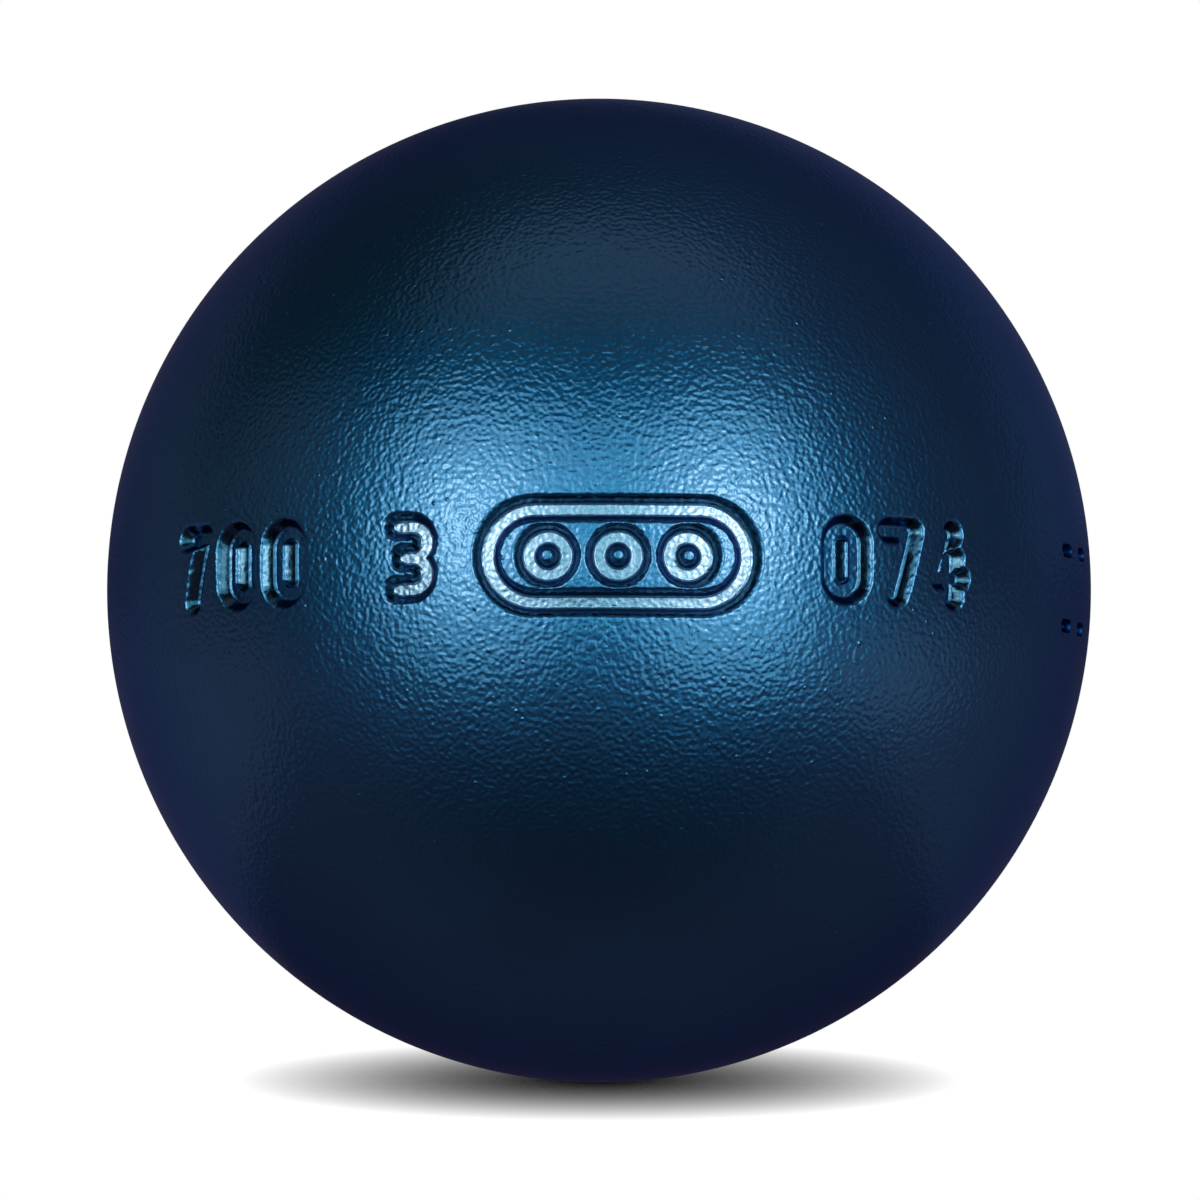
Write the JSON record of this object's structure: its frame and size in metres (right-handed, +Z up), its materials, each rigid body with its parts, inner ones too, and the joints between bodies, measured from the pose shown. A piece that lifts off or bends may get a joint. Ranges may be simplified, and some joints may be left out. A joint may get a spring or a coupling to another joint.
{
  "type": "petanque boule",
  "caption": "Hollow forged steel ball of two welded half shells, satin blue finish, with a leaned ring of engraved plain marks.",
  "frame": {"origin": "centre of the ball", "axes": "+Z up as the ball is pictured, -Y towards the middle of the marked front, and Y along the axis of the weld between the two half shells"},
  "size_m": [0.074, 0.074, 0.074],
  "materials": {
    "blue_coated_steel": "satin",
    "weld_metal": "satin"
  },
  "bodies": {
    "root": {"front_half_shell": "blue_coated_steel", "rear_half_shell": "blue_coated_steel", "root_weld": "weld_metal", "cap_weld": "blue_coated_steel"}
  },
  "joints": []
}
